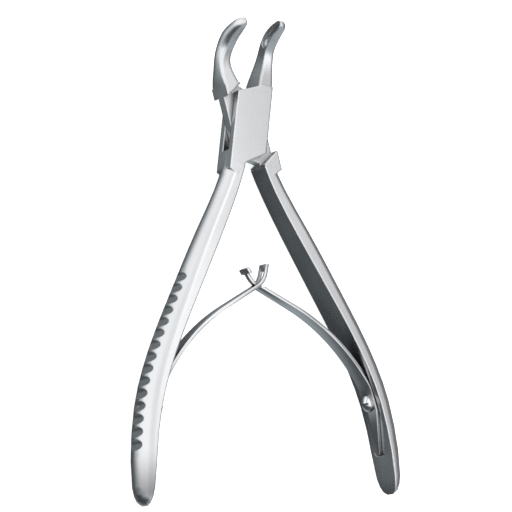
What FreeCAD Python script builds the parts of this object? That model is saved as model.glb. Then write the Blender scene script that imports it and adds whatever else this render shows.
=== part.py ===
# Bone rongeur: two crossed forgings on one pivot, sprung open by two hooked leaf springs.
#
# Millimetres and degrees. Each half is drawn as it stands when the jaws are shut:
# the pivot is at X = 0, Y = 0, the jaws run towards +Y, the handles towards -Y, and
# Z = 0 is the plane half way through the box. A half is then swung open by HalfOpening.
# The tool lies on its back, so the jaws curve up, towards +Z, and the frame's origin
# is where the pivot's axis meets the back face of the box.

import FreeCAD, Part
import math
import os

import Sketcher

Vector = FreeCAD.Vector
Rotation = FreeCAD.Rotation
Placement = FreeCAD.Placement

RIGHT = 1
LEFT = -1

# Driving sizes: alias, value, what it measures.
SIZES = (
    ("HalfOpening", 11.4, "angle of each half from the shut pose, at rest"),
    ("BoxDepth", 7.6, "front face to back face of the box"),
    ("BoxSide", 5.6, "pivot axis to the side of the box"),
    ("CheekTopLow", 8.7, "top of the cheeks at the open side"),
    ("CheekTopHigh", 12.0, "top of the cheeks at the jaw"),
    ("CheekTopIn", 1.2, "inner edge of the box half's jaw at the cheeks"),
    ("CheekFootHigh", 7.3, "foot of the cheeks at the open side"),
    ("CheekFootLow", 11.35, "foot of the cheeks at the handle"),
    ("CheekFootIn", 0.5, "inner edge of the box half's handle at the cheeks"),
    ("BlockFoot", 14.3, "pivot to the step where the block ends and the shank starts"),
    ("BlockFootDrop", 1.2, "how much lower the step is where it runs out"),
    ("BlockFootIn", 3.2, "offset of the place where the step runs out"),
    ("SlotTop", 8.3, "top of the slot on the jaw's side"),
    ("SlotFoot", 8.35, "foot of the slot on the handle's side"),
    ("TongueDepth", 3.0, "thickness of the tongue"),
    ("SlotFit", 0.08, "running gap on each face of the tongue"),
    ("TongueGap", 0.95, "gap between the tongue's edge and the end of the slot, shut"),
    ("JawShoulderGap", 0.65, "cheeks to the tongue half's jaw, shut"),
    ("JawFootIn", 0.5, "inner edge of the tongue half's jaw at its shoulder"),
    ("JawFootGap", 0.15, "height of that corner above the cheeks"),
    ("HandleShoulderGap", 1.35, "cheeks to the tongue half's handle, shut"),
    ("HandleFootIn", 0.85, "inner edge of the tongue half's handle at its shoulder"),
    ("HandleFootGap", 0.6, "drop of that corner below the cheeks"),
    ("BlockFlare", 0.7, "how far the tongue half's handle block stands out"),
    ("PinRadius", 2.2, "pivot pin"),
    ("PinFit", 0.04, "running gap round the pin in the tongue"),
    ("JawRootY", 12.6, "where the jaw leaves the block"),
    ("CrownRatio", 0.66, "radius of a handle's crown over its depth"),
    ("CornerRatio", 0.25, "radius of a handle's edges over its depth"),
    ("HandleStep", 7.5, "most between two sections of a handle"),
    ("JawStep", 1.7, "most between two sections of a jaw"),
    ("GrooveStart", 37.8, "along the crown from the shoulder to the first finger groove"),
    ("GroovePitch", 3.55, "finger groove to finger groove"),
    ("GrooveCount", 15, "finger grooves on each handle"),
    ("GrooveRadius", 1.75, "cutter of the finger grooves"),
    ("GrooveCut", 0.85, "depth of a finger groove"),
    ("RimWall", 0.38, "wall round the cup"),
    ("CupFloor", 0.55, "share of the jaw's thickness that the cup takes"),
    ("CupCrown", 0.6, "radius of the cup's floor over its width"),
    ("CupCorner", 0.28, "radius of the cup's lower edges over its width"),
    ("CupOver", 0.4, "how far the cutter stands out of the jaw's face"),
    ("LeafThick", 1.0, "leaf springs"),
    ("FootHalf", 2.9, "half the width of a leaf's foot"),
    ("FootBelow", 15.2, "spring screw to the end of a leaf's foot"),
    ("FootSlant", 2.6, "spring screw to where the foot's front edge starts to slant back"),
    ("FootEndFront", -0.7, "front edge of the foot at its end"),
    ("FootRound", 0.8, "corners of the foot's end"),
    ("TaperLead", 5.3, "spring screw to where the leaf starts to narrow"),
    ("NeckHalf", 1.85, "half the width of a leaf where the two meet"),
    ("SeatSink", 0.28, "depth of the seat for the foot under the handle's face"),
    ("SeatAbove", 10.3, "spring screw to the upper end of the seat"),
    ("SeatGap", 0.35, "gap round the foot in its seat"),
    ("SeatOver", 4.0, "how far the seat's cutter stands out of the handle"),
    ("SeatShoulder", 6.0, "spring screw to where the seat's front rim bends in"),
    ("SeatEndFront", 1.0, "front rim of the seat at its end"),
    ("SetLead", 2.3, "spring screw to where the leaf leaves its seat"),
    ("SetRadius", 10.0, "short bend beside the screw, on the face at the handle"),
    ("SetAngle", 18.0, "turn of the leaf in that short bend"),
    ("BowRadius", 58.6, "long bow of the leaf, on the face at the handle"),
    ("BowAngle", 32.5, "turn of the leaf in the long bow"),
    ("TonguedLead", 0.8, "start of the tongued leaf's tip bend before the meeting point"),
    ("TonguedBend", 7.0, "radius of the tongued leaf's tip"),
    ("TonguedTurn", 32.0, "turn of the tongued leaf's tip"),
    ("TonguedRun", 2.6, "straight end of the tongued leaf"),
    ("SlottedLead", 1.2, "start of the slotted leaf's tip bend before the meeting point"),
    ("SlottedBend", 6.0, "radius of the slotted leaf's tip"),
    ("SlottedTurn", 46.5, "turn of the slotted leaf's tip"),
    ("SlottedRun", 2.6, "straight end of the slotted leaf"),
    ("HookHalf", 0.75, "half the width of the tongue between shoulders and head"),
    ("HookShoulder", 1.2, "shoulders of the tongued leaf before the meeting point"),
    ("HeadHalf", 2.2, "half the width of the hooked head"),
    ("HeadLength", 1.8, "length of the hooked head"),
    ("LeafSlotHalf", 1.1, "half the width of the slot in the slotted leaf"),
    ("LeafSlotBefore", 1.5, "slot before the meeting point"),
    ("LeafSlotBridge", 1.5, "metal beyond the slot"),
    ("ScrewY", 85.3, "pivot to the spring screw"),
    ("ScrewRadius", 1.0, "shank of the spring screw"),
    ("ScrewFit", 0.05, "gap round the screw's shank"),
    ("ScrewLength", 3.2, "screw in the handle, from the seat"),
    ("ScrewHeadRadius", 2.3, "head of the spring screw"),
    ("ScrewRim", 0.9, "straight edge of the screw's head"),
    ("ScrewDome", 1.0, "dome of the screw's head over its edge"),
    ("DriverSlot", 0.5, "width of the driver slot"),
    ("DriverSlotDepth", 0.6, "depth of the driver slot"),
)

# Handle stations from the block to the tail: name, distance below the pivot, offset of
# the flat inner face from the shut centre line, depth along Z, thickness across.
HANDLE_STATIONS = (
    ("Shoulder", 12.4, 0.85, 7.64, 4.6),
    ("Shank", 21.0, 2.5, 7.5, 4.9),
    ("Waist", 34.0, 6.2, 8.2, 5.5),
    ("Middle", 52.0, 11.9, 9.3, 5.4),
    ("Palm", 70.0, 17.2, 10.1, 5.2),
    ("Grip", 86.0, 19.8, 10.5, 4.9),
    ("Heel", 100.0, 19.5, 10.3, 4.4),
    ("Tail", 107.3, 18.9, 9.2, 3.7),
    ("TailBend", 109.8, 18.75, 7.7, 3.1),
    ("TailTip", 111.4, 18.75, 5.7, 2.3),
    ("TailEnd", 112.3, 18.8, 2.6, 1.1),
)

# Jaw stations from the box to the tip: name, forward and rise of the middle of the
# inner face, lean of the section, depth along the section, offset of the inner face
# from the shut centre line, thickness across, crown radius, and the radii of the outer
# edges in front and at the back.
JAW_STATIONS = (
    ("Root", 12.0, 0.0, 0.0, 7.6, 1.0, 4.6, 40.0, 0.4, 0.4),
    ("Throat", 15.0, -0.1, 2.0, 6.9, 1.5, 4.2, 40.0, 0.4, 2.0),
    ("Neck", 18.2, 0.45, 14.0, 5.6, 1.9, 3.6, 25.0, 0.45, 2.75),
    ("Bend", 21.3, 1.75, 30.0, 4.7, 1.7, 3.4, 8.0, 0.6, 2.3),
    ("CupFoot", 23.8, 3.65, 45.0, 4.5, 0.95, 3.6, 3.2, 1.0, 2.0),
    ("CupBelly", 25.95, 6.4, 58.0, 4.3, 0.45, 3.6, 2.4, 1.2, 1.5),
    ("CupNose", 27.25, 9.6, 68.0, 3.6, 0.15, 3.2, 2.0, 1.1, 1.3),
    ("Bite", 27.9, 12.0, 76.0, 2.9, 0.1, 2.6, 1.6, 0.9, 1.1),
    ("Tip", 28.08, 13.0, 79.0, 2.2, 0.1, 2.0, 1.2, 0.7, 0.8),
    ("TipEnd", 28.15, 13.6, 80.0, 1.2, 0.2, 1.1, 0.65, 0.35, 0.4),
)
JAW_FIELDS = ("Forward", "Rise", "Lean", "Depth", "In", "Thick", "Crown", "Corner", "Back")
HANDLE_FIELDS = ("Down", "In", "Depth", "Thick")

# The cup from its heel to its nose: place between the stations CupFoot and Tip, and the
# share of its full width and depth that it has there.
CUP_STEPS = (
    (0.0, 0.3), (0.03, 0.62), (0.08, 0.86), (0.16, 1.0), (0.32, 1.0), (0.48, 1.0),
    (0.64, 1.0), (0.8, 1.0), (0.9, 0.95), (0.96, 0.8), (1.0, 0.5),
)

doc = FreeCAD.newDocument("bone_rongeur")
sheet = doc.addObject("Spreadsheet::Sheet", "Sizes")


def fill_sheet():
    """Writes every driving size into the sheet, one alias to a row."""
    rows = list(SIZES)
    for name, *values in HANDLE_STATIONS:
        rows += [(name + field, value, "handle station") for field, value in zip(HANDLE_FIELDS, values)]
    for name, *values in JAW_STATIONS:
        rows += [(name + "Jaw" + field, value, "jaw station") for field, value in zip(JAW_FIELDS, values)]
    for row, (alias, value, note) in enumerate(rows, start=1):
        sheet.set(f"A{row}", alias)
        sheet.set(f"B{row}", str(value))
        sheet.setAlias(f"B{row}", alias)
        sheet.set(f"C{row}", note)
    doc.recompute()


def size(alias):
    """The value of one driving size."""
    return float(getattr(sheet, alias))


def worth(expression):
    """The value of an expression over the sheet's sizes."""
    return float(sheet.evalExpression(expression))


def new_body(label):
    body = doc.addObject("PartDesign::Body", label)
    body.Label = label
    return body


def new_sketch(body, name, role, offset=None):
    """A sketch on one of the body's own origin planes, moved by offset."""
    sketch = body.newObject("Sketcher::SketchObject", name)
    plane = [item for item in body.Origin.OriginFeatures if item.Role == role][0]
    sketch.AttachmentSupport = [(plane, "")]
    sketch.MapMode = "FlatFace"
    if offset is not None:
        sketch.AttachmentOffset = offset
    return sketch


def bind_size(sketch, kind, name, expression, *elements):
    """Adds a dimension to a sketch and ties it to the sheet."""
    index = sketch.addConstraint(Sketcher.Constraint(kind, *elements, worth(expression)))
    sketch.renameConstraint(index, name)
    sketch.setExpression(f"Constraints.{name}", expression)


def polygon(sketch, corners):
    """A closed outline whose corners are pairs of expressions."""
    points = [Vector(worth(x), worth(y), 0) for x, y in corners]
    first = sketch.GeometryCount
    count = len(points)
    for index in range(count):
        sketch.addGeometry(Part.LineSegment(points[index], points[(index + 1) % count]))
    for index in range(count):
        after = first + (index + 1) % count
        sketch.addConstraint(Sketcher.Constraint("Coincident", first + index, 2, after, 1))
    for index, (x, y) in enumerate(corners):
        bind_size(sketch, "DistanceX", f"X{first + index}", x, -1, 1, first + index, 1)
        bind_size(sketch, "DistanceY", f"Y{first + index}", y, -1, 1, first + index, 1)


def pad(body, sketch, length, name):
    """Pads a sketch to both sides of its plane."""
    feature = body.newObject("PartDesign::Pad", name)
    feature.Profile = sketch
    feature.SideType = "Symmetric"
    feature.setExpression("Length", length)
    return feature


def pocket(body, sketch, name, length=None):
    """Cuts a sketch to both sides of its plane, right through without a length."""
    feature = body.newObject("PartDesign::Pocket", name)
    feature.Profile = sketch
    feature.SideType = "Symmetric"
    if length is None:
        feature.Type = "ThroughAll"
    else:
        feature.setExpression("Length", length)
    return feature


def rounded_section(sketch, side, depth, thick, crown, corner, back=None, start="0"):
    """A flat face, two rounded edges and a crown, all meeting on tangents.

    The flat face stands at start, and the crown faces side. The front edge has the radius
    corner and the back edge the radius back. The sizes are expressions.
    """
    half = worth(f"({depth}) / 2")
    base = worth(start)
    r_crown = worth(crown)
    middle = base + worth(thick) - r_crown
    edges = []
    for radius in (worth(corner), worth(back or corner)):
        reach = math.sqrt((r_crown - radius) ** 2 - (half - radius) ** 2)
        edges.append((radius, middle + reach, math.atan2(half - radius, reach)))
    (r_front, x_front, knee_front), (r_back, x_back, knee_back) = edges

    def arc(centre_x, centre_y, radius, begin, end):
        """An arc given for the right side, turned over for the left one."""
        if side == LEFT:
            begin, end = math.pi - end, math.pi - begin
        circle = Part.Circle(Vector(side * centre_x, centre_y, 0), Vector(0, 0, 1), radius)
        return Part.ArcOfCircle(circle, begin, end)

    def line(x_a, y_a, x_b, y_b):
        return Part.LineSegment(Vector(side * x_a, y_a, 0), Vector(side * x_b, y_b, 0))

    sketch.addGeometry(line(base, -half, base, half))
    sketch.addGeometry(line(base, half, x_front, half))
    sketch.addGeometry(arc(x_front, half - r_front, r_front, knee_front, math.pi / 2))
    sketch.addGeometry(arc(middle, 0, r_crown, -knee_back, knee_front))
    sketch.addGeometry(arc(x_back, r_back - half, r_back, -math.pi / 2, -knee_back))
    sketch.addGeometry(line(x_back, -half, base, -half))
    begin, end = (1, 2) if side == RIGHT else (2, 1)
    sketch.addConstraint(Sketcher.Constraint("Coincident", 0, 2, 1, 1))
    sketch.addConstraint(Sketcher.Constraint("Tangent", 1, 2, 2, end))
    sketch.addConstraint(Sketcher.Constraint("Tangent", 2, begin, 3, end))
    sketch.addConstraint(Sketcher.Constraint("Tangent", 3, begin, 4, end))
    sketch.addConstraint(Sketcher.Constraint("Tangent", 4, begin, 5, 1))
    sketch.addConstraint(Sketcher.Constraint("Coincident", 5, 2, 0, 1))
    sketch.addConstraint(Sketcher.Constraint("Horizontal", 1))
    sketch.addConstraint(Sketcher.Constraint("Horizontal", 5))
    sketch.addConstraint(Sketcher.Constraint("Symmetric", 0, 1, 0, 2, -1))
    sketch.addConstraint(Sketcher.Constraint("PointOnObject", 3, 3, -1))
    bind_size(sketch, "DistanceX", "Base", f"{side} * ({start})", -1, 1, 0, 1)
    bind_size(sketch, "DistanceY", "Depth", depth, 0, 1, 0, 2)
    bind_size(sketch, "Radius", "Corner", corner, 2)
    bind_size(sketch, "Radius", "Back", back or corner, 4)
    bind_size(sketch, "Radius", "Crown", crown, 3)
    bind_size(
        sketch, "DistanceX", "Centre", f"{side} * (({start}) + ({thick}) - ({crown}))", -1, 1, 3, 3
    )


def loft(body, kind, name, sketches):
    feature = body.newObject(f"PartDesign::{kind}", name)
    feature.Profile = sketches[0]
    feature.Sections = sketches[1:]
    feature.Ruled = True
    return feature


def even_steps(places, most):
    """The places, with as many even steps between them as keep each below most."""
    steps = [places[0]]
    for start, stop in zip(places, places[1:]):
        count = math.ceil((stop - start) / most)
        steps += [start + (stop - start) * index / count for index in range(1, count + 1)]
    return steps


def through(points, places):
    """A smooth curve that passes each point at its place."""
    curve = Part.BSplineCurve()
    curve.interpolate(Points=points, Parameters=places)
    return curve


def handle_curves():
    """The flat inner face of a right handle, its depth and thickness, and its sections' places.

    Every curve runs on the distance below the pivot.
    """
    names = [name for name, *rest in HANDLE_STATIONS]
    downs = [size(name + "Down") for name in names]
    face = through([Vector(size(name + "In"), -size(name + "Down"), 0) for name in names], downs)
    girth = through([Vector(size(name + "Depth"), size(name + "Thick"), 0) for name in names], downs)
    return face, girth, even_steps(downs, size("HandleStep"))


def outward(curve, place):
    """The direction out of a right handle, square to one of its curves."""
    tangent = curve.tangent(place)[0]
    return Vector(-tangent.y, tangent.x, 0)


def crown_line():
    """The outer crown of a right handle, as a curve through its sections."""
    face, girth, steps = handle_curves()
    points = [face.value(down) + outward(face, down) * girth.value(down).y for down in steps]
    return through(points, steps)


def add_handle(body, side):
    """Lofts a handle through its sections and cuts the finger grooves in its crown."""
    face, girth, steps = handle_curves()
    sections = []
    for number, down in enumerate(steps):
        foot = face.value(down)
        out = outward(face, down)
        tilt = side * math.degrees(math.atan2(out.y, out.x))
        offset = Placement(Vector(side * foot.x, 0, -foot.y), Rotation(Vector(0, 1, 0), tilt))
        sketch = new_sketch(body, f"HandleSection{number}", "XZ_Plane", offset)
        depth = f"{girth.value(down).x:.4f}"
        rounded_section(
            sketch, side, depth, f"{girth.value(down).y:.4f}", f"Sizes.CrownRatio * {depth}",
            f"Sizes.CornerRatio * {depth}",
        )
        sections.append(sketch)
    loft(body, "AdditiveLoft", "Handle", sections)
    crown = crown_line()
    edge = crown.toShape()
    grooves = new_sketch(body, "FingerGrooves", "XY_Plane")
    for index in range(int(size("GrooveCount"))):
        place = edge.getParameterByLength(size("GrooveStart") + index * size("GroovePitch"))
        centre = crown.value(place) + outward(crown, place) * (size("GrooveRadius") - size("GrooveCut"))
        centre.x *= side
        circle = Part.Circle(centre, Vector(0, 0, 1), size("GrooveRadius"))
        number = grooves.addGeometry(circle)
        bind_size(grooves, "Radius", f"Cutter{index}", "Sizes.GrooveRadius", number)
    pocket(body, grooves, "FingerGrooveCuts")


class JawCurves:
    """Path and section of a right jaw, as smooth curves along the path's length."""

    def __init__(self):
        names = [name for name, *rest in JAW_STATIONS]

        def field(name, kind):
            return size(f"{name}Jaw{kind}")

        path = [Vector(field(name, "Forward"), field(name, "Rise"), field(name, "In")) for name in names]
        self.places = [0.0]
        for before, after in zip(path, path[1:]):
            self.places.append(self.places[-1] + before.distanceToPoint(after))
        girth = [Vector(field(name, "Depth"), field(name, "Thick"), field(name, "Lean")) for name in names]
        # The radii change by tens of times along the jaw, so their logarithms are followed.
        radii = [
            Vector(*(math.log(field(name, kind)) for kind in ("Crown", "Corner", "Back"))) for name in names
        ]
        self.path = through(path, self.places)
        self.girth = through(girth, self.places)
        self.radii = through(radii, self.places)

    def place_of(self, name):
        return self.places[[station[0] for station in JAW_STATIONS].index(name)]


def jaw_section(body, side, label, jaw, place, depth, thick, crown, corner, back=None, start="0"):
    """A section of a jaw, across the curve that the jaw follows."""
    point = jaw.path.value(place)
    offset = Placement(
        Vector(side * point.z, point.y, -point.x), Rotation(Vector(1, 0, 0), jaw.girth.value(place).z)
    )
    sketch = new_sketch(body, label, "XZ_Plane", offset)
    rounded_section(sketch, side, depth, thick, crown, corner, back, start)
    return sketch


def add_jaw(body, side):
    """Lofts a jaw that curves up to its tip, and hollows the cup in its inner face."""
    jaw = JawCurves()
    sections = []
    for number, place in enumerate(even_steps(jaw.places, size("JawStep"))):
        girth = jaw.girth.value(place)
        radii = jaw.radii.value(place)
        sections.append(jaw_section(
            body, side, f"JawSection{number}", jaw, place, f"{girth.x:.4f}", f"{girth.y:.4f}",
            *(f"{math.exp(value):.4f}" for value in radii),
        ))
    loft(body, "AdditiveLoft", "Jaw", sections)
    heel = jaw.place_of("CupFoot")
    reach = jaw.place_of("Tip") - heel
    cups = []
    for number, (along, share) in enumerate(CUP_STEPS):
        place = heel + reach * along
        girth = jaw.girth.value(place)
        width = f"({girth.x:.4f} - 2 * Sizes.RimWall) * {share}"
        cups.append(jaw_section(
            body, side, f"CupSection{number}", jaw, place, width,
            f"{girth.y:.4f} * Sizes.CupFloor * {share} + Sizes.CupOver",
            f"({width}) * Sizes.CupCrown", f"({width}) * Sizes.CupCorner", start="-Sizes.CupOver",
        ))
    loft(body, "SubtractiveLoft", "Cup", cups)


def box_outline():
    """The box half's block: cheeks, root of the right jaw and root of the left handle."""
    return (
        ("-Sizes.BoxSide", "Sizes.CheekTopLow"),
        ("Sizes.CheekTopIn", "Sizes.CheekTopHigh"),
        ("Sizes.CheekTopIn", "Sizes.JawRootY"),
        ("Sizes.BoxSide", "Sizes.JawRootY"),
        ("Sizes.BoxSide", "-Sizes.CheekFootHigh"),
        ("-Sizes.CheekFootIn", "-Sizes.CheekFootLow"),
        ("-Sizes.BlockFootIn", "-Sizes.BlockFoot - Sizes.BlockFootDrop"),
        ("-Sizes.BoxSide", "-Sizes.BlockFoot"),
    )


def slot_outline():
    """The slot between the cheeks, closed at the jaw's root and at the handle's root."""
    past = "Sizes.BoxSide + Sizes.BlockFlare + 1"
    return (
        (f"-({past})", "-Sizes.SlotFoot"),
        ("-Sizes.BoxSide", "-Sizes.SlotFoot"),
        ("-Sizes.CheekFootIn", "-Sizes.CheekFootLow"),
        (past, "-Sizes.CheekFootLow"),
        (past, "Sizes.SlotTop"),
        ("Sizes.BoxSide", "Sizes.SlotTop"),
        ("Sizes.CheekTopIn", "Sizes.CheekTopHigh"),
        (f"-({past})", "Sizes.CheekTopHigh"),
    )


def tongue_outline():
    """The thin tongue that passes through the slot, from jaw root to handle root."""
    fall = "(Sizes.CheekFootLow - Sizes.SlotFoot) / (Sizes.BoxSide - Sizes.CheekFootIn)"
    foot = "Sizes.SlotFoot - Sizes.TongueGap"
    return (
        ("-Sizes.BoxSide", "Sizes.CheekTopLow + Sizes.JawShoulderGap + 0.8"),
        ("-Sizes.BoxSide", f"-({foot})"),
        ("Sizes.HandleFootIn", f"-({foot}) - (Sizes.BoxSide + Sizes.HandleFootIn) * {fall}"),
        ("Sizes.HandleFootIn", "-Sizes.CheekFootLow - Sizes.HandleFootGap - 1"),
        ("Sizes.BoxSide", "-Sizes.CheekFootHigh - Sizes.HandleShoulderGap - 1.5"),
        ("Sizes.BoxSide", "Sizes.SlotTop - Sizes.TongueGap"),
        ("-Sizes.JawFootIn", "Sizes.CheekTopHigh + Sizes.JawFootGap"),
        ("-Sizes.JawFootIn - 0.6", "Sizes.CheekTopHigh + Sizes.JawFootGap + 0.4"),
    )


def tongue_jaw_root():
    """Full-depth root of the left jaw, above the cheeks."""
    return (
        ("-Sizes.BoxSide", "Sizes.CheekTopLow + Sizes.JawShoulderGap"),
        ("-Sizes.JawFootIn", "Sizes.CheekTopHigh + Sizes.JawFootGap"),
        ("-Sizes.RootJawIn", "Sizes.JawRootY"),
        ("-Sizes.BoxSide", "Sizes.JawRootY"),
    )


def tongue_handle_root():
    """Full-depth root of the right handle, below the cheeks."""
    return (
        ("Sizes.HandleFootIn", "-Sizes.CheekFootLow - Sizes.HandleFootGap"),
        ("Sizes.BoxSide + Sizes.BlockFlare", "-Sizes.CheekFootHigh - Sizes.HandleShoulderGap"),
        ("Sizes.BoxSide + Sizes.BlockFlare", "-Sizes.BlockFoot"),
        ("Sizes.BlockFootIn", "-Sizes.BlockFoot - Sizes.BlockFootDrop"),
    )


def bore(body, name, radius):
    """The hole for the pivot pin, right through."""
    sketch = new_sketch(body, f"{name}Circle", "XY_Plane")
    sketch.addGeometry(Part.Circle(Vector(0, 0, 0), Vector(0, 0, 1), worth(radius)))
    sketch.addConstraint(Sketcher.Constraint("Coincident", 0, 3, -1, 1))
    bind_size(sketch, "Radius", "Bore", radius, 0)
    pocket(body, sketch, name)


def seat_x():
    """Offset of the flat floor of the spring's seat from the shut centre line."""
    return "Sizes.GripIn + Sizes.SeatSink"


def foot_end():
    """Distance from the pivot to the end of a leaf's foot."""
    return "Sizes.ScrewY + Sizes.FootBelow"


def add_spring_seat(body, side):
    """A flat-floored seat for the leaf's foot in the handle's inner face, and the tapped hole."""
    rim = "Sizes.FootHalf + Sizes.SeatGap"
    end = f"-({foot_end()}) - Sizes.SeatGap"
    middle = f"{side} * ({seat_x()} - Sizes.SeatOver / 2)"
    offset = Placement(Vector(0, 0, worth(middle)), Rotation())
    seat = new_sketch(body, "SeatOutline", "YZ_Plane", offset)
    seat.setExpression("AttachmentOffset.Base.z", middle)
    polygon(seat, (
        ("-Sizes.ScrewY + Sizes.SeatAbove", f"-({rim})"),
        ("-Sizes.ScrewY + Sizes.SeatAbove", rim),
        ("-Sizes.ScrewY - Sizes.SeatShoulder", rim),
        (f"({end} - Sizes.ScrewY - Sizes.SeatShoulder) / 2", f"({rim} + Sizes.SeatEndFront + Sizes.FootRound) / 2"),
        (end, "Sizes.SeatEndFront"),
        (end, f"-({rim}) + Sizes.FootRound"),
        (f"{end} + Sizes.FootRound", f"-({rim})"),
    ))
    pocket(body, seat, "Seat", "Sizes.SeatOver")
    hole = body.newObject("PartDesign::SubtractiveCylinder", "ScrewHole")
    hole.setExpression("Radius", "Sizes.ScrewRadius + Sizes.ScrewFit")
    deep = "(Sizes.ScrewLength + 0.4)"
    hole.setExpression("Height", deep)
    start = seat_x() if side == RIGHT else f"-({seat_x()}) - {deep}"
    hole.AttachmentOffset = Placement(Vector(0, 0, 0), Rotation(Vector(0, 1, 0), 90))
    hole.setExpression("AttachmentOffset.Base.x", start)
    hole.setExpression("AttachmentOffset.Base.y", "-Sizes.ScrewY")
    attach_to_plane(body, hole, "XY_Plane")


def attach_to_plane(body, feature, role):
    plane = [item for item in body.Origin.OriginFeatures if item.Role == role][0]
    feature.AttachmentSupport = [(plane, "")]
    feature.MapMode = "FlatFace"


def make_box_half():
    """Left handle, slotted box and right jaw in one forging."""
    body = new_body("box_half")
    block = new_sketch(body, "BoxOutline", "XY_Plane")
    polygon(block, box_outline())
    pad(body, block, "Sizes.BoxDepth", "Block")
    add_handle(body, LEFT)
    add_jaw(body, RIGHT)
    slot = new_sketch(body, "SlotOutline", "XY_Plane")
    polygon(slot, slot_outline())
    pocket(body, slot, "Slot", "Sizes.TongueDepth + 2 * Sizes.SlotFit")
    bore(body, "PinHole", "Sizes.PinRadius")
    add_spring_seat(body, LEFT)
    return body


def make_tongue_half():
    """Right handle, tongue and left jaw in one forging."""
    body = new_body("tongue_half")
    tongue = new_sketch(body, "TongueOutline", "XY_Plane")
    polygon(tongue, tongue_outline())
    pad(body, tongue, "Sizes.TongueDepth", "Tongue")
    jaw_root = new_sketch(body, "JawRootOutline", "XY_Plane")
    polygon(jaw_root, tongue_jaw_root())
    pad(body, jaw_root, "Sizes.BoxDepth", "JawRoot")
    handle_root = new_sketch(body, "HandleRootOutline", "XY_Plane")
    polygon(handle_root, tongue_handle_root())
    pad(body, handle_root, "Sizes.BoxDepth", "HandleRoot")
    add_handle(body, RIGHT)
    add_jaw(body, LEFT)
    bore(body, "PinHole", "Sizes.PinRadius + Sizes.PinFit")
    add_spring_seat(body, RIGHT)
    return body


def make_pin():
    """The pivot pin, ground flush with both cheeks."""
    body = new_body("pivot_pin")
    sketch = new_sketch(body, "PinCircle", "XY_Plane")
    sketch.addGeometry(Part.Circle(Vector(0, 0, 0), Vector(0, 0, 1), size("PinRadius")))
    sketch.addConstraint(Sketcher.Constraint("Coincident", 0, 3, -1, 1))
    bind_size(sketch, "Radius", "Shaft", "Sizes.PinRadius", 0)
    pad(body, sketch, "Sizes.BoxDepth", "Shaft")
    return body


class Strip:
    """A bent strip drawn as the outline of its edge: each move adds to both faces."""

    def __init__(self, start, heading, thick):
        self.point = start
        self.heading = heading
        self.thick = thick
        self.handle_face = []
        self.free_face = []

    def direction(self, heading):
        return Vector(-math.sin(heading), math.cos(heading), 0)

    def free_offset(self, heading):
        """From the face at the handle to the free face of the strip."""
        return Vector(-math.cos(heading), -math.sin(heading), 0) * self.thick

    def run(self, length):
        end = self.point + self.direction(self.heading) * length
        shift = self.free_offset(self.heading)
        self.handle_face.append(Part.LineSegment(self.point, end))
        self.free_face.append(Part.LineSegment(self.point + shift, end + shift))
        self.point = end

    def bend(self, radius, turn):
        """Turns by an angle in degrees: positive away from the handle."""
        sense = math.copysign(1.0, turn)
        side = Vector(-math.cos(self.heading), -math.sin(self.heading), 0) * sense
        centre = self.point + side * radius
        after = self.heading + math.radians(turn)
        middle = (self.heading + after) / 2

        def on_arc(heading):
            normal = Vector(-math.cos(heading), -math.sin(heading), 0) * sense
            return centre - normal * radius

        faces = []
        for shift in (0.0, self.thick):
            stops = []
            for heading in (self.heading, middle, after):
                normal = Vector(-math.cos(heading), -math.sin(heading), 0)
                stops.append(on_arc(heading) + normal * shift)
            faces.append(Part.Arc(*stops))
        self.handle_face.append(faces[0])
        self.free_face.append(faces[1])
        self.point = on_arc(after)
        self.heading = after

    def outline(self):
        """The closed outline: handle face, end, free face, start."""
        first = Part.LineSegment(self.free_face[0].StartPoint, self.handle_face[0].StartPoint)
        last = Part.LineSegment(self.handle_face[-1].EndPoint, self.free_face[-1].EndPoint)
        return self.handle_face + [last] + self.free_face + [first]


def leaf_meeting(kind):
    """Draws a right leaf of one kind from its foot to its tip, and finds where the two meet.

    Returns the strip, the height where it crosses the centre line and that of its tip.
    """
    seat = Vector(worth(seat_x()), -worth(foot_end()), 0)
    strip = Strip(seat, 0.0, size("LeafThick"))
    strip.run(size("FootBelow") + size("SetLead"))
    strip.bend(size("SetRadius"), size("SetAngle"))
    strip.bend(size("BowRadius"), size("BowAngle"))
    opening = math.radians(size("HalfOpening"))
    inward = strip.direction(strip.heading + opening).x
    across = strip.point.x * math.cos(opening) - strip.point.y * math.sin(opening)
    reach = -across / inward
    meeting = (strip.point + strip.direction(strip.heading) * reach).y
    strip.run(reach - size(kind + "Lead"))
    strip.bend(size(kind + "Bend"), -size(kind + "Turn"))
    strip.run(size(kind + "Run"))
    return strip, meeting, strip.point.y


def leaf_body(label, side, strip):
    """Pads the strip to the width of its foot."""
    body = new_body(label)
    edge = new_sketch(body, "StripEdge", "XY_Plane")
    for piece in strip.outline():
        if side == LEFT:
            piece.mirror(Vector(0, 0, 0), Vector(0, 1, 0))
        edge.addGeometry(piece)
    pad(body, edge, "2 * Sizes.FootHalf", "Strip")
    return body


def trim_strip(body, rows, tip):
    """Cuts a strip to its width: rows are distance along Y and half the width, screw to tip."""
    half = size("FootHalf")
    foot = -worth(foot_end())
    slant = -size("ScrewY") - size("FootSlant")
    corner = size("FootRound")
    front = [(foot, size("FootEndFront")), (slant, half)] + list(rows)
    back = [(foot, corner - half), (foot + corner, -half)] + [(y, -z) for y, z in rows]
    border = [(foot - half, -2 * half), (tip + half, -2 * half), (tip + half, 2 * half), (foot - half, 2 * half)]
    trim = new_sketch(body, "StripWidth", "YZ_Plane")
    for loop in (border, front + back[::-1]):
        for start, stop in zip(loop, loop[1:] + loop[:1]):
            trim.addGeometry(Part.LineSegment(Vector(*start, 0), Vector(*stop, 0)))
    pocket(body, trim, "Width")


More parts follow.
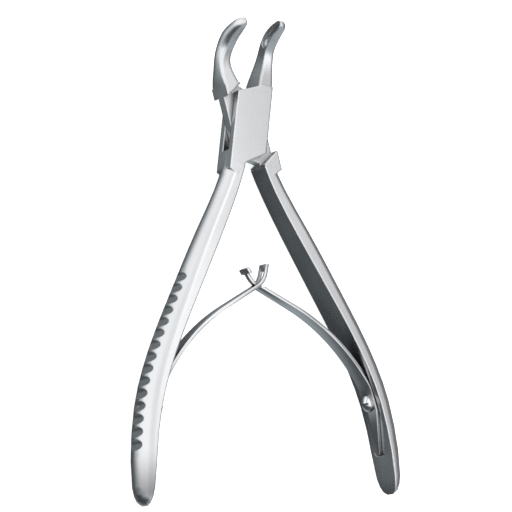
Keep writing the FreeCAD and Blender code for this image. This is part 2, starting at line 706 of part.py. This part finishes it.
def leaf_screw_hole(body):
    sketch = new_sketch(body, "ScrewHoleCircle", "YZ_Plane")
    place = Vector(-size("ScrewY"), 0, 0)
    sketch.addGeometry(Part.Circle(place, Vector(0, 0, 1), worth("Sizes.ScrewRadius + Sizes.ScrewFit")))
    pocket(body, sketch, "ScrewHole")


def make_slotted_leaf():
    """The left leaf: its curved tip has the slot that the other leaf hooks through."""
    strip, meeting, tip = leaf_meeting("Slotted")
    body = leaf_body("slotted_leaf_spring", LEFT, strip)
    rows = (
        (size("TaperLead") - size("ScrewY"), size("FootHalf")),
        (meeting, size("NeckHalf")),
        (tip + size("HeadLength"), size("NeckHalf")),
    )
    trim_strip(body, rows, tip)
    half = size("LeafSlotHalf")
    start = meeting - size("LeafSlotBefore") + half
    stop = tip - size("LeafSlotBridge") - half
    slot = new_sketch(body, "HookSlot", "YZ_Plane")
    slot.addGeometry(Part.LineSegment(Vector(start, half, 0), Vector(stop, half, 0)))
    slot.addGeometry(Part.LineSegment(Vector(start, -half, 0), Vector(stop, -half, 0)))
    slot.addGeometry(Part.Arc(Vector(start, half, 0), Vector(start - half, 0, 0), Vector(start, -half, 0)))
    slot.addGeometry(Part.Arc(Vector(stop, half, 0), Vector(stop + half, 0, 0), Vector(stop, -half, 0)))
    pocket(body, slot, "HookSlotCut")
    leaf_screw_hole(body)
    return body


def make_tongued_leaf():
    """The right leaf: a narrow tongue with a hooked head goes through the slot."""
    strip, meeting, tip = leaf_meeting("Tongued")
    body = leaf_body("tongued_leaf_spring", RIGHT, strip)
    shoulder = meeting - size("HookShoulder")
    head = tip - size("HeadLength")
    rows = (
        (size("TaperLead") - size("ScrewY"), size("FootHalf")),
        (shoulder, size("NeckHalf")),
        (shoulder, size("HookHalf")),
        (head, size("HookHalf")),
        (head, size("HeadHalf")),
        (tip + size("HeadLength"), size("HeadHalf")),
    )
    trim_strip(body, rows, tip)
    leaf_screw_hole(body)
    return body


def make_spring_screw(label, side):
    """A domed screw with a driver slot, drawn about its own axis and set in the seat."""
    body = new_body(label)
    sketch = new_sketch(body, "ScrewProfile", "XZ_Plane")
    shank = size("ScrewRadius")
    head = size("ScrewHeadRadius")
    top = size("LeafThick")
    rim = top + size("ScrewRim")
    dome = rim + size("ScrewDome")
    corners = (
        Vector(0, -size("ScrewLength"), 0), Vector(shank, -size("ScrewLength"), 0),
        Vector(shank, top, 0), Vector(head, top, 0), Vector(head, rim, 0),
    )
    for start, stop in zip(corners, corners[1:]):
        sketch.addGeometry(Part.LineSegment(start, stop))
    ball = (head ** 2 + (dome - rim) ** 2) / (2 * (dome - rim))
    half_way = math.asin(head / ball) / 2
    swell = Vector(ball * math.sin(half_way), dome - ball * (1 - math.cos(half_way)), 0)
    sketch.addGeometry(Part.Arc(corners[-1], swell, Vector(0, dome, 0)))
    sketch.addGeometry(Part.LineSegment(Vector(0, dome, 0), corners[0]))
    turned = body.newObject("PartDesign::Revolution", "Turned")
    turned.Profile = sketch
    turned.ReferenceAxis = (sketch, ["V_Axis"])
    turned.Angle = 360
    driver = body.newObject("PartDesign::SubtractiveBox", "DriverSlotCut")
    driver.setExpression("Length", "2 * Sizes.ScrewHeadRadius + 2")
    driver.setExpression("Width", "Sizes.DriverSlot")
    driver.setExpression("Height", "2 * Sizes.DriverSlotDepth")
    driver.setExpression("AttachmentOffset.Base.x", "-Sizes.ScrewHeadRadius - 1")
    driver.setExpression("AttachmentOffset.Base.y", "-Sizes.DriverSlot / 2")
    driver.setExpression(
        "AttachmentOffset.Base.z",
        "Sizes.LeafThick + Sizes.ScrewRim + Sizes.ScrewDome - Sizes.DriverSlotDepth",
    )
    attach_to_plane(body, driver, "XY_Plane")
    return body


def swing_open(side):
    """Placement of a half: swung about the pivot, with the back of the box at Z = 0."""
    lift = Vector(0, 0, size("BoxDepth") / 2)
    return Placement(lift, Rotation(Vector(0, 0, 1), side * size("HalfOpening")))


def screw_place(side):
    """Placement of a screw: its axis square to the seat, its head on the free side."""
    foot = Vector(side * worth(seat_x()), -size("ScrewY"), 0)
    return swing_open(side).multiply(Placement(foot, Rotation(Vector(0, 1, 0), -90 * side)))


def check(bodies):
    """Stops if any object failed, or a sub-part is empty, invalid or in pieces."""
    for item in doc.Objects:
        if {"Invalid", "Error"} & set(item.State):
            raise RuntimeError(f"{item.Label} failed: {item.State}")
    for body in bodies:
        shape = body.Shape
        if shape.isNull() or not shape.isValid() or len(shape.Solids) != 1:
            raise RuntimeError(f"{body.Label} is not one valid solid")
        print(f"{body.Label}: {shape.Volume:.1f} mm3, {len(shape.Faces)} faces")


fill_sheet()
box_half = make_box_half()
tongue_half = make_tongue_half()
pivot_pin = make_pin()
slotted_leaf = make_slotted_leaf()
tongued_leaf = make_tongued_leaf()
left_screw = make_spring_screw("left_spring_screw", LEFT)
right_screw = make_spring_screw("right_spring_screw", RIGHT)

for piece, side in ((box_half, LEFT), (pivot_pin, LEFT), (slotted_leaf, LEFT)):
    piece.Placement = swing_open(side)
for piece, side in ((tongue_half, RIGHT), (tongued_leaf, RIGHT)):
    piece.Placement = swing_open(side)
left_screw.Placement = screw_place(LEFT)
right_screw.Placement = screw_place(RIGHT)
doc.recompute()

sub_parts = (box_half, tongue_half, pivot_pin, slotted_leaf, tongued_leaf, left_screw, right_screw)
check(sub_parts)
os.makedirs("parts", exist_ok=True)
for sub_part in sub_parts:
    sub_part.Shape.exportStep(f"parts/{sub_part.Label}.step")
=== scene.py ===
# %% [markdown]
# # Dressing a bone rongeur
# A bone rongeur is a pair of hand forgings that cross in a box joint. Two leaf springs, hooked into
# each other, push the handles apart. The construction comes ready as a frame of exact parts, so this
# lesson is about the finish: satin steel, ground faces, polished edges, leaf springs with rolled edges,
# and light.
#
# The frame is loaded first. Everything is in metres, the pivot stands on the Z axis, the jaws point
# along +Y, and the tool lies on its back with its jaws curving up.

# %% Load the frame
import math

import bpy
from mathutils import Matrix, Vector


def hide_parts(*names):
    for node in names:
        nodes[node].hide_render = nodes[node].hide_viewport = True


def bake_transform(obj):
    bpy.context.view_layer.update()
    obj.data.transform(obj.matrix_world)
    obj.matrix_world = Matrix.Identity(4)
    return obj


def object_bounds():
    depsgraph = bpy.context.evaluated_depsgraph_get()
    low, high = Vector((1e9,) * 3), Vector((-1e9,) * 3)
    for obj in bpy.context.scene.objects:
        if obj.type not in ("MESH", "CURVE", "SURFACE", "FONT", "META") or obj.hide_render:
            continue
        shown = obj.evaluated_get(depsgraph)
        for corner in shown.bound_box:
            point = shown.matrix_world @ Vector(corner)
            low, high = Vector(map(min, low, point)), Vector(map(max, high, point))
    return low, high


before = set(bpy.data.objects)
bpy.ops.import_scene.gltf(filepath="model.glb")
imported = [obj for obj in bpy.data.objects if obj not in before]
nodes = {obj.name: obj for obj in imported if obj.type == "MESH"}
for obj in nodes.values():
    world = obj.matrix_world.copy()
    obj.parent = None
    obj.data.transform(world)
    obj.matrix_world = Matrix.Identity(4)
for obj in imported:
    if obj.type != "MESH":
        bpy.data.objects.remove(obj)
cad_low, cad_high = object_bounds()
MM = 0.001
print("frame:", ", ".join(sorted(nodes)))
print("size in mm:", [round((high - low) / MM, 1) for low, high in zip(cad_low, cad_high)])

# %% [markdown]
# ## The camera
# A photograph of a long, slim tool is best matched with a long lens. The view was worked out by
# fitting the box's corners, the grips and the jaws: the camera looks 33 degrees across the tool from
# its left, 8.4 degrees from its handles, and is rolled by 4.1 degrees. Its place follows from where
# the pivot stands in the picture, so the numbers below stay readable.

# %% Camera
BOX_DEPTH = 7.6 * MM
PIVOT = Vector((0, 0, BOX_DEPTH / 2))
VIEW_ACROSS = math.radians(33.0)
VIEW_ALONG = math.radians(8.4)
VIEW_ROLL = math.radians(-4.1)
PICTURE = 512
FOCAL_PIXELS = 2200
PIXELS_PER_MM = 3.5
PIVOT_RIGHT_PIXELS = -10.8
PIVOT_UP_PIXELS = 129.0
SENSOR_MM = 36
NEAREST = 10 * MM

look = Vector((
    math.sin(VIEW_ACROSS) * math.cos(VIEW_ALONG),
    math.sin(VIEW_ALONG),
    -math.cos(VIEW_ACROSS) * math.cos(VIEW_ALONG),
))
level = Vector((math.cos(VIEW_ACROSS), 0, math.sin(VIEW_ACROSS)))
upright = level.cross(look)
right = level * math.cos(VIEW_ROLL) + upright * math.sin(VIEW_ROLL)
up = upright * math.cos(VIEW_ROLL) - level * math.sin(VIEW_ROLL)
away = FOCAL_PIXELS / PIXELS_PER_MM * MM
eye = PIVOT - look * away
eye -= right * (PIVOT_RIGHT_PIXELS / PIXELS_PER_MM * MM)
eye -= up * (PIVOT_UP_PIXELS / PIXELS_PER_MM * MM)

lens = bpy.data.cameras.new("catalogue_camera")
lens.sensor_width = SENSOR_MM
lens.lens = FOCAL_PIXELS / PICTURE * SENSOR_MM
lens.clip_start = NEAREST
camera = bpy.data.objects.new("catalogue_camera", lens)
bpy.context.scene.collection.objects.link(camera)
camera.matrix_world = Matrix.Translation(eye) @ Matrix((right, up, -look)).transposed().to_4x4()
bpy.context.scene.camera = camera
print("camera stands", round(away / MM), "mm away, lens", round(lens.lens, 1), "mm")

# %% [markdown]
# ## Shader maths as Python
# Node trees are hard to read as calls. A small class wraps one socket, and the usual signs of
# arithmetic then add Math nodes, so that a mask can be written as `1 - mask * 0.5`. Every other node
# comes from one method that takes the type, the settings and the inputs.

# %% Shader helper
class Wire:
    """One output socket of a node tree, with the signs of arithmetic."""

    def __init__(self, tree, socket):
        self.tree = tree
        self.socket = socket

    def wire(self, kind, output=0, settings=None, **inputs):
        """Adds a node: its settings first, then its inputs, by name or as _0, _1 and so on."""
        made = self.tree.nodes.new(kind)
        for name, value in (settings or {}).items():
            setattr(made, name, value)
        for name, value in inputs.items():
            key = int(name[1:]) if name[1:].isdigit() else name
            if isinstance(value, Wire):
                self.tree.links.new(value.socket, made.inputs[key])
            else:
                made.inputs[key].default_value = value
        return Wire(self.tree, made.outputs[output])

    def maths(self, operation, *values, clamp=False):
        inputs = {f"_{index}": value for index, value in enumerate(values)}
        return self.wire("ShaderNodeMath", 0, {"operation": operation, "use_clamp": clamp}, **inputs)

    def __add__(self, other):
        return self.maths("ADD", self, other)

    def __sub__(self, other):
        return self.maths("SUBTRACT", self, other)

    def __mul__(self, other):
        return self.maths("MULTIPLY", self, other)

    def __truediv__(self, other):
        return self.maths("DIVIDE", self, other)

    def __radd__(self, other):
        return self.maths("ADD", other, self)

    def __rsub__(self, other):
        return self.maths("SUBTRACT", other, self)

    def __rmul__(self, other):
        return self.maths("MULTIPLY", other, self)

    def __rtruediv__(self, other):
        return self.maths("DIVIDE", other, self)

    def clamped(self):
        return self.maths("ADD", self, 0.0, clamp=True)

    def between(self, low, high):
        """0 below low, 1 above high, smooth in between."""
        return self.wire(
            "ShaderNodeMapRange", 0, {"interpolation_type": "SMOOTHSTEP"}, Value=self, _1=low, _2=high
        )

    def part(self, axis):
        """One number of a vector."""
        return self.wire("ShaderNodeSeparateXYZ", "XYZ".index(axis), _0=self)

    def scaled(self, *sizes):
        """A vector's three numbers times three sizes."""
        return self.wire("ShaderNodeVectorMath", 0, {"operation": "MULTIPLY"}, _0=self, _1=sizes)

    def dot(self, other):
        return self.wire("ShaderNodeVectorMath", 1, {"operation": "DOT_PRODUCT"}, _0=self, _1=other)

    def length(self):
        return self.wire("ShaderNodeVectorMath", 1, {"operation": "LENGTH"}, _0=self)

    def mixed(self, first, second):
        """Mixes two vectors, this wire being the share of the second."""
        return self.wire("ShaderNodeMix", 1, {"data_type": "VECTOR"}, _0=self, _4=first, _5=second)

    def blend(self, first, second):
        """Mixes two colours, this wire being the share of the second."""
        settings = {"data_type": "RGBA", "blend_type": "MIX"}
        return self.wire("ShaderNodeMix", 2, settings, _0=self, _6=first, _7=second)

    def noise(self, scale, detail):
        return self.wire("ShaderNodeTexNoise", 0, Vector=self, Scale=scale, Detail=detail)


def new_material(name):
    """A material with its Principled shader, and a Wire that gives the place on the object."""
    material = bpy.data.materials.new(name)
    material.use_nodes = True
    tree = material.node_tree
    place = Wire(tree, tree.nodes.new("ShaderNodeTexCoord").outputs["Object"])
    return material, tree.nodes["Principled BSDF"], place


print("shader helper ready")

# %% [markdown]
# ## Smooth forgings
# A frame part arrives as loose triangles, so a curved grip would shine in facets. The triangles are
# welded by a modifier, real corners are split again by their angle, and the weighted normals keep
# the large flat faces flat. The part's own points stay where they are: only the shading changes.

# %% Smooth forgings
WELD = 0.001 * MM
CORNER_ANGLE = math.radians(27)

for name in ("box_half", "tongue_half", "pivot_pin", "left_spring_screw", "right_spring_screw"):
    node = nodes[name]
    mesh = node.data
    mesh.polygons.foreach_set("use_smooth", [True] * len(mesh.polygons))
    if "custom_normal" in mesh.attributes:
        mesh.attributes.remove(mesh.attributes["custom_normal"])
    weld = node.modifiers.new("weld", "WELD")
    weld.merge_threshold = WELD
    split = node.modifiers.new("corners", "EDGE_SPLIT")
    split.split_angle = CORNER_ANGLE
    node.modifiers.new("flats", "WEIGHTED_NORMAL")
    print(name, "welded for shading")

# %% [markdown]
# ## Tumbled edges
# A forging is tumbled after grinding, so no edge of it is sharp. Rounding every edge in the mesh would
# cost thousands of faces. The Bevel node bends the normal near an edge instead, and where it departs
# from the plain normal is the edge itself. The necks, where the jaws leave the box, are blended by
# hand to a larger radius. The pivot pin is ground flush with the box, so the Bevel node is faded out
# around it, or it would draw a ring that the real tool doesn't show.

# %% Tumbled edges
SAMPLES = 6
NECK_EDGE = 1.1 * MM
NECK_START = 10 * MM
NECK_FULL = 12.5 * MM
NECK_FADE = 18.5 * MM
NECK_END = 21.5 * MM
PIN_FLUSH = 2.6 * MM
PIN_FADE = 1.25
RIM_RANGE = (0.004, 0.12)


def bevelled(place, radius):
    """The normal as it would be with the edges rounded to a radius."""
    return place.wire("ShaderNodeBevel", 0, {"samples": SAMPLES}, Radius=radius)


def tumbled_normal(place, plain, edge, forging):
    """The rounded normal: softer at a forging's necks, and left plain round the pivot pin."""
    rounded = bevelled(place, edge)
    if forging:
        along = place.part("Y")
        necks = along.between(NECK_START, NECK_FULL) * (1 - along.between(NECK_FADE, NECK_END))
        rounded = necks.mixed(rounded, bevelled(place, NECK_EDGE))
    from_axis = place.scaled(1, 1, 0).length()
    flush = 1 - from_axis.between(PIN_FLUSH, PIN_FLUSH * PIN_FADE)
    return flush.mixed(rounded, plain)


print("edges of the necks are rounded to", round(NECK_EDGE / MM, 2), "mm")

# %% [markdown]
# ## Painted shade in corners
# Corners, seams and hollows are painted darker in the steel's colour: this is painted shade, where
# little light reaches. Ambient occlusion finds such places: a short reach finds the seams, and a long
# one finds the hollows, such as the cups and the finger grooves. The upper side of the left grip is
# painted darker as well over its last centimetre and a half, as painted shade where the real grip looks
# dark and the solid's slope is too short to make it so. That patch is placed by object coordinates.

# %% Painted shade in corners
# How far the painted shade in seams and hollows reaches.
SEAM_REACH = 1.6 * MM
SEAM_RANGE = (0.10, 0.75)
HOLLOW_REACH = 9 * MM
HOLLOW_RANGE = (0.15, 0.90)
HOLLOW_PAINTED_SHADE = 0.80
# Painted shade on the upper side of the left grip's tail, standing in for the slope that the solid
# lacks there.
TAIL_START = -90 * MM
TAIL_FULL = -105 * MM
TAIL_FADE = -102.5 * MM
TAIL_END = -107 * MM
TAIL_FACING = (-0.1, 0.3)
TAIL_PAINTED_SHADE = 0.95
LEFT_SIDE = 5 * MM


def open_sky(place, reach):
    """How open a point is within a reach: 0 deep in a corner, 1 on a free face."""
    return place.wire("ShaderNodeAmbientOcclusion", 1, {"samples": SAMPLES}, Distance=reach)


def painted_shade_share(place, plain, forging):
    """How much painted shade darkens the steel at a point: 0 on a free face, 1 in a deep seam."""
    near = open_sky(place, SEAM_REACH).between(*SEAM_RANGE)
    wide = open_sky(place, HOLLOW_REACH).between(*HOLLOW_RANGE)
    shaded = 1 - near * (1 - HOLLOW_PAINTED_SHADE * (1 - wide))
    if forging:
        # The left grip's tail gets painted shade as well, placed by object coordinates.
        along = place.part("Y")
        tail = (1 - along.between(TAIL_FULL, TAIL_START)) * along.between(TAIL_END, TAIL_FADE)
        left = (place.part("X") * -1).between(0, LEFT_SIDE)
        shaded = shaded + tail * left * plain.part("Z").between(*TAIL_FACING) * TAIL_PAINTED_SHADE
    return shaded


# Prints where the painted shade on the left grip starts.
print("the left grip is dull from", round(TAIL_START / MM), "mm to its end")

# %% [markdown]
# ## Satin steel
# Forged stainless steel is ground, then brushed with a fine belt. Close up it has short hair lines and
# a little cloudiness where the belt dwelt; its edges are polished smoother and are painted lighter as a
# painted highlight. Noise in object coordinates makes the lines and the clouds, so they stay put when
# the tool moves. The hair lines are one noise, stretched along Y. The jaws are finished a little finer
# than the grips.

# %% Satin steel
HAIR_SCALES = (9000, 500, 9000)
HAIR_DETAIL = 3.0
GRAIN_SCALE = 2600.0
GRAIN_DETAIL = 4.0
CLOUD_SCALE = 90.0
CLOUD_DETAIL = 3.0
HAIR_DEPTH = 0.10
CLOUD_TONE = 0.10
CLOUD_ROUGHNESS = 0.14
TONE_LOW = 0.86
TONE_SPAN = 0.28
DARK_TINT = (0.86, 0.86, 0.87)
LIGHT_TINT = (1.15, 1.15, 1.15)
# Painted highlight: edges are painted lighter in the steel's colour; they are also polished smoother.
EDGE_PAINTED_HIGHLIGHT = 0.25
EDGE_POLISH = 0.08
JAW_POLISH = 0.02
JAW_POLISH_RANGE = (11 * MM, 19 * MM)
# Painted shade: corners, seams, hollows and the left grip's tail are darkened toward this colour.
PAINTED_SHADE_SHARE = 0.80
PAINTED_SHADE_COLOUR = (0.10, 0.105, 0.11, 1)
HAIR_IN_BUMP = 0.6
GRAIN_IN_BUMP = 0.4
BUMP_DEPTH = 0.02 * MM


def tinted(grey, tint):
    """A steel colour times a tint, no brighter than white."""
    return tuple(min(share * factor, 1.0) for share, factor in zip(grey, tint)) + (1.0,)


def steel(name, grey, roughness, hair, edge, forging=False):
    """Brushed steel: hair lines run along Y, edges are rounded, polished and painted lighter as a
    painted highlight, and corners get painted shade.
    """
    material, shader, place = new_material(name)
    lines = place.scaled(*HAIR_SCALES).noise(1.0, HAIR_DETAIL)
    grain = place.noise(GRAIN_SCALE, GRAIN_DETAIL)
    clouds = place.noise(CLOUD_SCALE, CLOUD_DETAIL)
    plain = place.wire("ShaderNodeNewGeometry", "Normal")
    rounded = tumbled_normal(place, plain, edge, forging)
    rim = (1 - rounded.dot(plain)).between(*RIM_RANGE)

    hair_share = (lines - 0.5) * (HAIR_DEPTH * hair)
    tone = hair_share + (clouds - 0.5) * CLOUD_TONE + 1.0
    # Random tone from the hair lines and clouds, plus a painted highlight along the edges.
    shade = ((tone - TONE_LOW) / TONE_SPAN + rim * EDGE_PAINTED_HIGHLIGHT).clamped()
    unshaded_colour = shade.blend(tinted(grey, DARK_TINT), tinted(grey, LIGHT_TINT))
    # Painted shade is laid over the colour in corners, seams, hollows and on the left grip's tail.
    colour = (painted_shade_share(place, plain, forging) * PAINTED_SHADE_SHARE).blend(unshaded_colour, PAINTED_SHADE_COLOUR)

    rough = roughness + hair_share + (clouds - 0.5) * CLOUD_ROUGHNESS - rim * EDGE_POLISH
    if forging:
        rough = rough - place.part("Y").between(*JAW_POLISH_RANGE) * JAW_POLISH
    relief = lines * HAIR_IN_BUMP + grain * GRAIN_IN_BUMP
    bump = place.wire(
        "ShaderNodeBump", Strength=HAIR_DEPTH * hair, Distance=BUMP_DEPTH, Height=relief, Normal=rounded
    )
    for socket, wire in (("Base Color", colour), ("Roughness", rough), ("Normal", bump)):
        material.node_tree.links.new(wire.socket, shader.inputs[socket])
    shader.inputs["Metallic"].default_value = 1.0
    return material


forged_steel = steel("satin_forged_steel", (0.60, 0.605, 0.61), 0.27, 1.0, 0.55 * MM, forging=True)
spring_steel = steel("spring_steel", (0.56, 0.565, 0.57), 0.30, 1.2, 0.10 * MM)
screw_steel = steel("polished_screw_steel", (0.72, 0.72, 0.72), 0.18, 0.4, 0.08 * MM)
print("mixed", forged_steel.name, spring_steel.name, screw_steel.name)

# %% [markdown]
# ## Which part gets which steel
# The forgings and the pin are ground together, so they share one finish. The springs are a darker
# strip with stronger hair lines, and the screws are turned and polished. A part's look is changed by
# putting a material in the slots that it already has.

# %% Finishes
FINISH = {
    "box_half": forged_steel,
    "tongue_half": forged_steel,
    "pivot_pin": forged_steel,
    "slotted_leaf_spring": spring_steel,
    "tongued_leaf_spring": spring_steel,
    "left_spring_screw": screw_steel,
    "right_spring_screw": screw_steel,
}
for name, material in FINISH.items():
    mesh = nodes[name].data
    for slot in range(len(mesh.materials)):
        mesh.materials[slot] = material
    print(name, "is", material.name, "with", len(mesh.polygons), "faces")

# %% [markdown]
# ## Leaf springs
# Each leaf is one strip of spring steel, screwed to a handle at its foot and carried by the other
# leaf at its tip. When the handles close, the strip bends. The shape of the frame's leaf is right, so
# a copy of it is merged, its flat faces are joined up and its edges are rolled over by a small bevel.
# The copy stands in for the frame leaf, which is hidden.

# %% Leaf springs
LEAF_EDGE = 0.14 * MM
LEAF_EDGE_STEPS = 2
FLAT_ANGLE = math.radians(0.6)
EDGE_ANGLE = math.radians(35)


def leaf_piece(node_name, piece_name):
    """A merged copy of a frame leaf with rolled edges, which stands in for the hidden frame leaf."""
    source = nodes[node_name]
    piece = bpy.data.objects.new(piece_name, source.data.copy())
    bpy.context.scene.collection.objects.link(piece)
    piece.data.transform(source.matrix_world)
    bpy.ops.object.select_all(action="DESELECT")
    piece.select_set(True)
    bpy.context.view_layer.objects.active = piece
    bpy.ops.object.mode_set(mode="EDIT")
    bpy.ops.mesh.select_all(action="SELECT")
    bpy.ops.mesh.remove_doubles(threshold=WELD)
    bpy.ops.mesh.dissolve_limited(angle_limit=FLAT_ANGLE)
    bpy.ops.mesh.normals_make_consistent(inside=False)
    bpy.ops.object.mode_set(mode="OBJECT")
    bevel = piece.modifiers.new("rolled_edges", "BEVEL")
    bevel.width = LEAF_EDGE
    bevel.segments = LEAF_EDGE_STEPS
    bevel.limit_method = "ANGLE"
    bevel.angle_limit = EDGE_ANGLE
    bpy.ops.object.modifier_apply(modifier="rolled_edges")
    bpy.ops.object.shade_smooth_by_angle(angle=EDGE_ANGLE)
    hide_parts(node_name)
    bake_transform(piece)
    print(piece_name, "has", len(piece.data.polygons), "faces")


leaf_piece("slotted_leaf_spring", "left_spring")
leaf_piece("tongued_leaf_spring", "right_spring")

# %% [markdown]
# ## A soft box over the left handle
# Polished steel shows the room, so the room is what has to be right. A large soft box close above the
# left handle makes it the brightest part of the tool. It lies along the tool, longer than the handle
# and five centimetres wide, and the camera doesn't see it.

# %% Soft box
SOFTBOX_TOWARDS = (0.51, 0.10, 0.85)
SOFTBOX_AWAY = 120 * MM
SOFTBOX_LENGTH = 200 * MM
SOFTBOX_WIDTH = 50 * MM
SOFTBOX_WATTS = 0.020

left_handle = Vector((-27 * MM, -45 * MM, BOX_DEPTH))
direction = Vector(SOFTBOX_TOWARDS).normalized()
lamp = bpy.data.lights.new("left_softbox", "AREA")
lamp.shape = "RECTANGLE"
lamp.size = SOFTBOX_LENGTH
lamp.size_y = SOFTBOX_WIDTH
lamp.energy = SOFTBOX_WATTS
holder = bpy.data.objects.new("left_softbox", lamp)
bpy.context.scene.collection.objects.link(holder)
holder.location = left_handle + direction * SOFTBOX_AWAY
holder.rotation_euler = direction.to_track_quat("Z", "Y").to_euler()
holder.visible_camera = False
print("soft box", round(SOFTBOX_AWAY / MM), "mm from the left handle")

# %% [markdown]
# ## The tent and the room
# The rest of the light is painted on the world, as a function of direction. A white tent hangs over
# the table and is brightest at the left. To the right it fades, so a crown that turns to the right
# goes grey at once. Below the tent the room is dark and a little blue, which makes the inner flat of
# the right handle almost black, and the table in front on the right gives some light back.

# %% Tent and room
TENT = 1.24
TENT_COLOUR = (0.985, 0.99, 1.0, 1)
TENT_EDGE = (-1.0, -0.25)
TENT_FRONT_RISE = 1.4
TENT_LEFT_GAIN = 0.22
LEFT_GAIN_RANGE = (0.3, 0.9)
TENT_RIGHT_LOSS = 0.80
RIGHT_LOSS_RANGE = (0.46, 0.76)
ROOM_COLOUR = (0.85, 0.95, 1.0, 1)
ROOM_DARK = 0.10
ROOM_TABLE = 0.62
TABLE_ACROSS = (-0.45, 0.25)
TABLE_IN_FRONT = (-0.10, 0.40)

sky = bpy.data.worlds.new("studio")
bpy.context.scene.world = sky
sky.use_nodes = True
background = sky.node_tree.nodes["Background"]
towards = Wire(sky.node_tree, sky.node_tree.nodes.new("ShaderNodeTexCoord").outputs["Generated"])
across, along, height = (towards.part(axis) for axis in "XYZ")
tent_share = (height + along.maths("MINIMUM", along, 0.0) * TENT_FRONT_RISE).between(*TENT_EDGE)
tent_left = 1 + (across * -1).between(*LEFT_GAIN_RANGE) * TENT_LEFT_GAIN
tent_right = 1 - across.between(*RIGHT_LOSS_RANGE) * TENT_RIGHT_LOSS
table = across.between(*TABLE_ACROSS) * (along * -1).between(*TABLE_IN_FRONT)
room = ROOM_DARK + table * (ROOM_TABLE - ROOM_DARK)
sky_light = room + tent_share * (TENT * tent_left * tent_right - room)
sky.node_tree.links.new(sky_light.socket, background.inputs["Strength"])
sky_colour = tent_share.blend(ROOM_COLOUR, TENT_COLOUR)
sky.node_tree.links.new(sky_colour.socket, background.inputs["Color"])
print("tent", TENT, "room", ROOM_DARK, "table", ROOM_TABLE)

# %% [markdown]
# ## The floor
# The tool lies on plain white paper. The paper glows a little, so that it stays white under the tool,
# and the steel doesn't mirror it, because the world above already holds the table that the steel
# shows.

# %% Floor
FLOOR_SIZE = 6
PAPER_WHITE = (0.9, 0.9, 0.9, 1)
PAPER_ROUGHNESS = 0.9
PAPER_GLOW = 0.75

bpy.ops.object.select_all(action="DESELECT")
bpy.ops.mesh.primitive_plane_add(size=FLOOR_SIZE, location=(0, 0, cad_low[2]))
floor = bpy.context.object
floor.name = "studio_floor"
floor.visible_glossy = False
paper, paper_shader, _ = new_material("floor_paper")
paper_shader.inputs["Base Color"].default_value = PAPER_WHITE
paper_shader.inputs["Roughness"].default_value = PAPER_ROUGHNESS
paper_shader.inputs["Specular IOR Level"].default_value = 0.0
paper_shader.inputs["Emission Color"].default_value = (1, 1, 1, 1)
paper_shader.inputs["Emission Strength"].default_value = PAPER_GLOW
floor.data.materials.append(paper)
bpy.context.scene.view_settings.view_transform = "Standard"
print("floor at", round(cad_low[2] / MM, 2), "mm")
